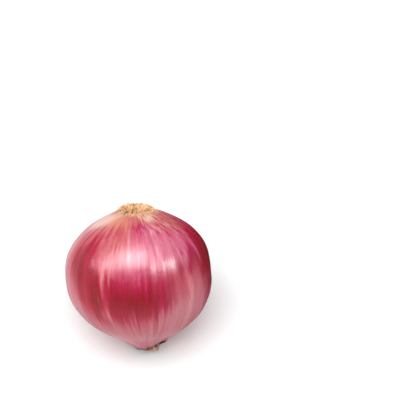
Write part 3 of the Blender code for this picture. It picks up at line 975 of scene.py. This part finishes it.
def make_plate():
    """The corky dome that the roots leave, pitted between them."""
    profile = [(0.0, SEAT_HEIGHT + WELD), (PLATE_RADIUS, SEAT_HEIGHT + WELD)]
    for row in range(PLATE_ROWS + 1):
        radius = PLATE_RADIUS * cos(row / PLATE_ROWS * pi / 2.0)
        profile.append((radius, plate_height(radius)))
    plate = turned("root_plate", profile, PLATE_SEGMENTS)
    points = read_points(plate)
    pits = noise_of(*(points / PIT_SIZE).T)
    lumps = noise_of(*(points / LUMP_SIZE).T)
    on_dome = points[:, 2] > SEAT_HEIGHT + 0.5 * MM
    points[:, 2] += np.where(on_dome, PIT_DEPTH * pits + LUMP_DEPTH * lumps, 0.0)
    write_points(plate, points)
    write_attribute(plate, "tone", 0.5 + 0.4 * lumps)
    # Painted shade: the plate's rise, and so its colour, is darker in its pits.
    write_attribute(plate, "rise", 0.20 + 0.34 * pits)
    return plate


def even_share(number, count):
    """The share of the field's radius at which one of many even places lies."""
    return sqrt((number + 0.5) / count)


def field_spot(share, turn):
    radius = ROOT_FIELD_RADIUS * share
    return Vector((radius * cos(turn), radius * sin(turn)))


def planted(points, share, turn, splay, lean, spin):
    """A root's points, moved from its own axis to its place on the plate."""
    radius = ROOT_FIELD_RADIUS * share
    place = (
        Matrix.Rotation(turn, 4, "Z")
        @ Matrix.Translation((radius, 0.0, plate_height(radius)))
        @ Matrix.Rotation(splay, 4, "Y")
        @ Matrix.Rotation(lean, 4, "X")
        @ Matrix.Rotation(spin, 4, "Z")
    )
    return points @ np.array(place.to_3x3()).T + np.array(place.translation)


def one_stub(base, shape, draw, number, share, turn):
    """A stub's points, tone and rise. Some are wide and hollow, and more of those at the rim; their
    hollow tips are painted dark as shade.
    """
    length = shape.root_length * draw.triangular(*ROOT_LENGTHS)
    length *= 1.0 - ROOT_RIM_SHORTER * share * share
    length *= 1.0 - ROOT_LEAN * share * cos(turn)
    wide = number % HOLLOW_ROOT_EVERY == HOLLOW_ROOT_FIRST
    wide = wide or (share > HOLLOW_RIM and number % HOLLOW_RIM_EVERY == 0)
    width = shape.root_radius * draw.uniform(*(HOLLOW_ROOT_WIDTHS if wide else ROOT_WIDTHS))
    points = base.copy()
    along = base[:, 2]
    around = np.arctan2(base[:, 1], base[:, 0])
    thickness = width * (1.12 - 0.34 * along) * (1.0 + 0.18 * np.sin(along * 9.0 + number))
    dent = 1.0 + 0.22 * np.sin(around * 2.0 + number)
    points[:, :2] *= (thickness * dent)[:, None]
    slant = 0.30 * np.sin(around + number) * (along > 0.6)
    height = along * (length + ROOT_SUNK) - ROOT_SUNK + slant * width
    points[:, 2] = height
    points[:, 0] += ROOT_BEND * length * draw.uniform(0.1, 1.3) * height**2
    splay = ROOT_SPLAY * share**1.5 + draw.gauss(0.0, 0.6) * ROOT_WANDER
    lean = draw.gauss(0.0, 0.7) * ROOT_WANDER
    points = planted(points, share, turn, splay, lean, draw.uniform(0.0, FULL_TURN))
    in_tip = (np.hypot(base[:, 0], base[:, 1]) < 0.9) & (along > 0.5)
    # Painted shade: the hollow tip of a wide root is given the dark cork.
    rise = np.where(in_tip, 0.0 if wide else 0.5, 0.26 + 0.74 * height)
    return points, 0.75 * draw.random() + 0.50 * (1.0 - share), rise


def all_stubs(base, shape, draw):
    """Trimmed roots, spread as seeds are over a sunflower and splayed towards the plate's edge."""
    golden = pi * (3.0 - sqrt(5.0))
    bare = []
    for number in range(BARE_PLACES):
        spot = field_spot(even_share(number, BARE_PLACES), draw.uniform(0.0, FULL_TURN))
        bare.append((spot, draw.uniform(*BARE_RADII) * MM))
    for number in range(shape.root_count):
        share = even_share(number, shape.root_count)
        turn = number * golden + draw.uniform(-0.1, 0.1)
        spot = field_spot(share, turn)
        if all((spot - middle).length >= size for middle, size in bare):
            yield one_stub(base, shape, draw, number, share, turn)


def all_fibres(base, shape, draw):
    """Fine dried roots that stand out from among the stubs, all but straight as the stubs are."""
    along = base[:, 2]
    for _ in range(shape.fibre_count):
        share = sqrt(draw.uniform(0.12, 1.0))
        length = draw.uniform(*FIBRE_LENGTHS) * MM
        points = base.copy()
        points[:, :2] *= (draw.uniform(*FIBRE_RADII) * MM * (1.2 - 0.8 * along))[:, None]
        height = along * (length + ROOT_SUNK) - ROOT_SUNK
        points[:, 2] = height
        points[:, 0] += 0.5 * length * draw.uniform(-1.0, 1.0) * height**2
        points[:, 1] += 0.22 * length * np.sin(height * draw.uniform(2.0, 6.0)) * height
        turn = draw.uniform(0.0, FULL_TURN)
        splay = ROOT_SPLAY * share + draw.gauss(0.0, 0.45)
        lean = draw.gauss(0.0, 0.5)
        points = planted(points, share, turn, splay, lean, draw.uniform(0.0, FULL_TURN))
        yield points, draw.random() * 0.9, 0.35 + 0.65 * height


def skin_outline():
    """The skin's own outline, from the axis over the crown to the neck's end, as ways and points."""
    rim = crown_turn(RIM_RADIUS)
    over_seat = [crown_point(rim * row / SEAT_ROWS) for row in range(SEAT_ROWS)]
    in_seat = 3
    skin_rows = CROWN_ROWS + SHOULDER_ROWS + NECK_ROWS + 1
    outline = np.array(over_seat + skin_profile()[in_seat : in_seat + skin_rows])
    return np.arctan2(outline[:, 0], outline[:, 1]), outline


def skin_place(outline, turn, way, lift):
    """Places on the skin at a turn and way, or lifted off it."""
    ways, points = outline
    radius = np.interp(way, ways, points[:, 0])
    height = np.interp(way, ways, points[:, 1])
    moved = radius - skin_depth(turn, radius, height) + lift * np.sin(way)
    return places(moved, turn, height + lift * np.cos(way))


def grid_template(across, along):
    """A flat sheet from -1 to 1 across and 0 to 1 along."""
    select_only()
    bpy.ops.mesh.primitive_grid_add(x_subdivisions=across, y_subdivisions=along, size=1.0)
    template = bpy.context.object
    points = read_points(template)
    points[:, 0] *= 2.0
    points[:, 1] += 0.5
    write_points(template, points)
    return template


def one_scale(grid, outline, draw, turn, start, end, width, lifts, tone=None):
    """One tongue of skin from one way to another, tapered to a ragged end and lifted there."""
    across, along = grid[:, 0], grid[:, 1]
    ragged = noise_of(across * 2.2 + turn * 40.0, turn * 9.0, 0.0)
    way = start + (end - start) * along * (1.0 + 0.35 * ragged * along)
    taper = 1.0 - 0.45 * along**2
    radius = np.interp(way, outline[0], outline[1][:, 0])
    drift = draw.uniform(-0.4, 0.4) * width * along
    placed = turn + (across * width * taper + drift) / np.maximum(radius, 2.0 * MM)
    curl = draw.uniform(-0.2, 0.5) * width * across**2 * along
    lift = lifts[0] + (lifts[1] - lifts[0]) * along**1.5 + np.maximum(curl, 0.0)
    points = skin_place(outline, placed, way, lift)
    return points, draw.random() if tone is None else tone, along


def all_scales(grid, count):
    """Torn ends of skin, evenly round the crown, and then the strips that point out from it."""
    draw = random.Random(SCALE_SEED)
    outline = skin_outline()
    for number in range(count + STRIP_COUNT):
        if number < count:
            turn = FULL_TURN * (number + draw.uniform(-0.4, 0.4)) / count
            start = radians(draw.uniform(*SCALE_STARTS))
            ends, first_lift, last_lifts, widths = SCALE_MAKE
        else:
            turn = radians(draw.uniform(*STRIP_TURNS))
            start = STRIP_START
            ends, first_lift, last_lifts, widths = STRIP_MAKE
        end = radians(draw.uniform(*ends))
        lifts = (first_lift * MM, draw.uniform(*last_lifts) * MM)
        yield one_scale(grid, outline, draw, turn, start, end, draw.uniform(*widths) * MM, lifts)


def all_scraps(grid):
    draw = random.Random(SCRAP_SEED)
    outline = skin_outline()
    for turn, start, end, width, first_lift, last_lift, tone in SCRAPS:
        angles = [radians(angle) for angle in (turn, start, end)]
        lifts = (first_lift * MM, last_lift * MM)
        yield one_scale(grid, outline, draw, *angles, width * MM, lifts, tone)


def one_husk(grid, number, radius, start, sweep, stand):
    """One dried leaf end, curled round the neck's axis, with a crumpled, torn end."""
    along = grid[:, 1]
    turn = radians(start) + radians(sweep) * (grid[:, 0] * 0.5 + 0.5)
    seed = 17.0 * number
    crumple = noise_of(np.cos(turn) * 2.0, np.sin(turn) * 2.0 + seed, along * 1.6)
    fine = noise_of(np.cos(turn) * 6.0, np.sin(turn) * 6.0 + seed, along * 2.5)
    top = NECK_END + COLLAR_DEPTH + HUSK_SUNK
    bottom = NECK_END - stand * MM
    height = top + (bottom - top) * along * (1.0 + 0.16 * fine * along)
    flare = HUSK_FLARE * tear(turn) / TEAR_DEPTH * along**2 * (radius * MM) / COLLAR_FLOOR_RADIUS
    wrinkle = (HUSK_WRINKLE * crumple + 0.4 * HUSK_WRINKLE * fine) * (0.3 + 0.7 * along)
    spread = np.maximum(radius * MM + wrinkle + flare, HUSK_LEAST_RADIUS)
    # Painted shade: the rise is lowest inside the collar and in the creases, and grows over the shade
    # reach past the collar's edge; the torn end adds burnt brown.
    beyond = (NECK_END + tear(turn) - height) / HUSK_SHADE_REACH
    creases = smooth_step(0.2 - 3.0 * fine)
    torn_end = smooth_step((along - 0.88) / 0.12)
    rise = 0.3 + 0.42 * smooth_step(beyond) - 0.30 * creases + 0.3 * torn_end
    return places(spread, turn, height), 0.5 + 0.5 * sin(2.3 * number), rise


def all_husks(grid):
    for number, curl in enumerate(HUSK_CURLS):
        yield one_husk(grid, number, *curl)


def papery(name, wall, fineness, sheets, *counts):
    """One piece of thin sheets, with a wall and rounded off, leaned over and kept off the floor."""
    template = grid_template(*fineness)
    piece = joined(name, copies(template, sheets(read_points(template), *counts)))
    modified(piece, "SOLIDIFY", thickness=wall, offset=0.0)
    modified(piece, "SUBSURF", levels=1, render_levels=1)
    lean_over(piece)
    press_up(piece, FLOOR_CLEARANCE, FLOOR_GIVE)
    smooth_shaded(piece, 60.0)
    return piece


class OBJECT_OT_onion_skin(bpy.types.Operator):
    """Models the onion's red skin, from its edge round the crown to its collar at the neck"""

    bl_idname = "object.onion_skin"
    bl_label = "Skin"

    def execute(self, context):
        piece = turned("onion_skin", skin_profile(), SKIN_SEGMENTS)
        placed, *where = relief_skin(read_points(piece))
        write_points(piece, placed)
        paint_skin(piece, *where)
        lean_over(piece)
        cut_at_floor(piece)
        smooth_shaded(piece, 50.0)
        hand_over(piece, skin_material(context.scene.onion_colours), "bulb")
        return {"FINISHED"}


class OBJECT_OT_onion_roots(bpy.types.Operator):
    """Models the trimmed root crown: the corky plate, its root stubs and the finer dried roots"""

    bl_idname = "object.onion_roots"
    bl_label = "Root Crown"

    def execute(self, context):
        draw = random.Random(ROOT_SEED)
        pieces = [make_plate()]
        for fineness, roots in ((STUB_FINENESS, all_stubs), (FIBRE_FINENESS, all_fibres)):
            template = root_template(*fineness)
            makes = roots(read_points(template), context.scene.onion_shape, draw)
            pieces += copies(template, makes)
        crown = joined("root_tuft", pieces)
        points = read_points(crown)
        points[:, 0] += CROWN_SHIFT
        write_points(crown, points)
        lean_over(crown)
        smooth_shaded(crown, 45.0)
        hand_over(crown, root_material(context.scene.onion_colours), "root_crown")
        return {"FINISHED"}


class OBJECT_OT_onion_scales(bpy.types.Operator):
    """Models the torn papery ends of skin round the root crown"""

    bl_idname = "object.onion_scales"
    bl_label = "Skin Scales"

    def execute(self, context):
        count = context.scene.onion_shape.scale_count
        piece = papery("crown_scales", SCALE_WALL, SCALE_FINENESS, all_scales, count)
        hand_over(piece, scale_material(context.scene.onion_colours), None)
        return {"FINISHED"}


class OBJECT_OT_onion_husks(bpy.types.Operator):
    """Models the crumpled dried ends of the inner leaves, standing out of the neck's collar"""

    bl_idname = "object.onion_husks"
    bl_label = "Neck Leaves"

    def execute(self, context):
        piece = papery("neck_husks", HUSK_WALL, HUSK_FINENESS, all_husks)
        hand_over(piece, husk_material(context.scene.onion_colours), "neck_leaves")
        return {"FINISHED"}


class OBJECT_OT_onion_scraps(bpy.types.Operator):
    """Models the small scraps of skin at the torn side of the neck's collar, and a dark sheet of painted
    shade past the tear
    """

    bl_idname = "object.onion_scraps"
    bl_label = "Neck Scraps"

    def execute(self, context):
        piece = papery("neck_scraps_and_shade", SCRAP_WALL, SCRAP_FINENESS, all_scraps)
        hand_over(piece, scrap_material(context.scene.onion_colours), None)
        return {"FINISHED"}


def make_floor(stage):
    select_only()
    bpy.ops.mesh.primitive_circle_add(vertices=64, radius=stage.floor_radius, fill_type="NGON")
    floor = bpy.context.object
    floor.name = "floor"
    sockets = {"Base Color": stage.floor_tint, "Roughness": 0.9, "Specular IOR Level": 0.0}
    floor.data.materials.append(new_material("floor").finish(sockets))
    floor.visible_glossy = False


def make_lights(stage):
    """Two large soft lights, and the bright windows that only the gloss shows."""
    for light, power in ((KEY_LIGHT, stage.key_power), (SIDE_LIGHT, stage.side_power)):
        add_light(*light, power).visible_glossy = False
    for *window, share in WINDOWS:
        add_light(*window, stage.window_power * share).visible_diffuse = False


def add_light(name, size, direction, power):
    """An area light that faces the onion from a direction."""
    towards = Vector(direction).normalized()
    place = Vector(LIGHT_CENTRE) + towards * LIGHT_DISTANCE
    bpy.ops.object.light_add(type="AREA", location=place)
    light = bpy.context.object
    light.name = name
    across = (Vector((1.0, 0.0, 0.0)) - towards * towards.x).normalized()
    light.rotation_euler = Matrix((across, towards.cross(across), towards)).transposed().to_euler()
    light.data.shape = "RECTANGLE"
    light.data.size, light.data.size_y = size
    light.data.energy = power
    return light


def make_surround(stage):
    """The world: pale and low all round, dim overhead and dark at one side."""
    recipe = Recipe(bpy.data.worlds.new("studio"), "Background")
    direction = recipe.node("TexCoord", {})["Generated"]
    height = recipe.node("SeparateXYZ", {0: direction})["Z"]
    shade = {0: direction, 1: SHADE_DIRECTION}
    towards_shade = recipe.node("VectorMath", shade, operation="DOT_PRODUCT")["Value"]
    strengths = (stage.surround_strength, stage.shade_strength)
    surround = recipe.share(towards_shade, *SHADE_FADE, *strengths)
    sky = recipe.share(height, *SKY_FADE, surround, stage.sky_strength)
    return recipe.finish({"Color": (1.0, 1.0, 1.0), "Strength": sky})


def make_camera():
    bpy.ops.object.camera_add(location=CAMERA_PLACE, rotation=(CAMERA_TILT, 0.0, 0.0))
    camera = bpy.context.object
    camera.name = "camera"
    camera.data.angle = VIEW_ANGLE
    camera.data.clip_start = 0.01
    return camera


class OBJECT_OT_onion_stage(bpy.types.Operator):
    """Makes the pale floor, the soft studio light and the camera at the photograph's angle"""

    bl_idname = "object.onion_stage"
    bl_label = "Stage"

    def execute(self, context):
        scene = context.scene
        make_floor(scene.onion_stage)
        make_lights(scene.onion_stage)
        scene.world = make_surround(scene.onion_stage)
        scene.camera = make_camera()
        scene.view_settings.view_transform = "Standard"
        return {"FINISHED"}


class VIEW3D_PT_onion(bpy.types.Panel):
    """Lists the onion's pieces, sizes and colours"""

    bl_idname = "VIEW3D_PT_onion"
    bl_label = "Red Onion"
    bl_space_type = "VIEW_3D"
    bl_region_type = "UI"
    bl_category = "Onion"

    def draw(self, context):
        for group in (context.scene.onion_shape, context.scene.onion_colours, context.scene.onion_stage):
            column = self.layout.column(align=True)
            for name in group.bl_rna.properties.keys():
                if name not in ("rna_type", "name"):
                    column.prop(group, name)
        for step in STEPS:
            self.layout.operator(step.bl_idname)


STEPS = (
    OBJECT_OT_onion_skin,
    OBJECT_OT_onion_roots,
    OBJECT_OT_onion_scales,
    OBJECT_OT_onion_husks,
    OBJECT_OT_onion_scraps,
    OBJECT_OT_onion_stage,
)
CLASSES = (OnionShape, OnionColours, OnionStage, *STEPS, VIEW3D_PT_onion)


def register():
    for item in CLASSES:
        bpy.utils.register_class(item)
    bpy.types.Scene.onion_shape = bpy.props.PointerProperty(type=OnionShape)
    bpy.types.Scene.onion_colours = bpy.props.PointerProperty(type=OnionColours)
    bpy.types.Scene.onion_stage = bpy.props.PointerProperty(type=OnionStage)


def unregister():
    del bpy.types.Scene.onion_shape
    del bpy.types.Scene.onion_colours
    del bpy.types.Scene.onion_stage
    for item in reversed(CLASSES):
        bpy.utils.unregister_class(item)


def main():
    register()
    bpy.ops.object.onion_skin()
    bpy.ops.object.onion_roots()
    bpy.ops.object.onion_scales()
    bpy.ops.object.onion_husks()
    bpy.ops.object.onion_scraps()
    bpy.ops.object.onion_stage()


if __name__ == "__main__":
    main()
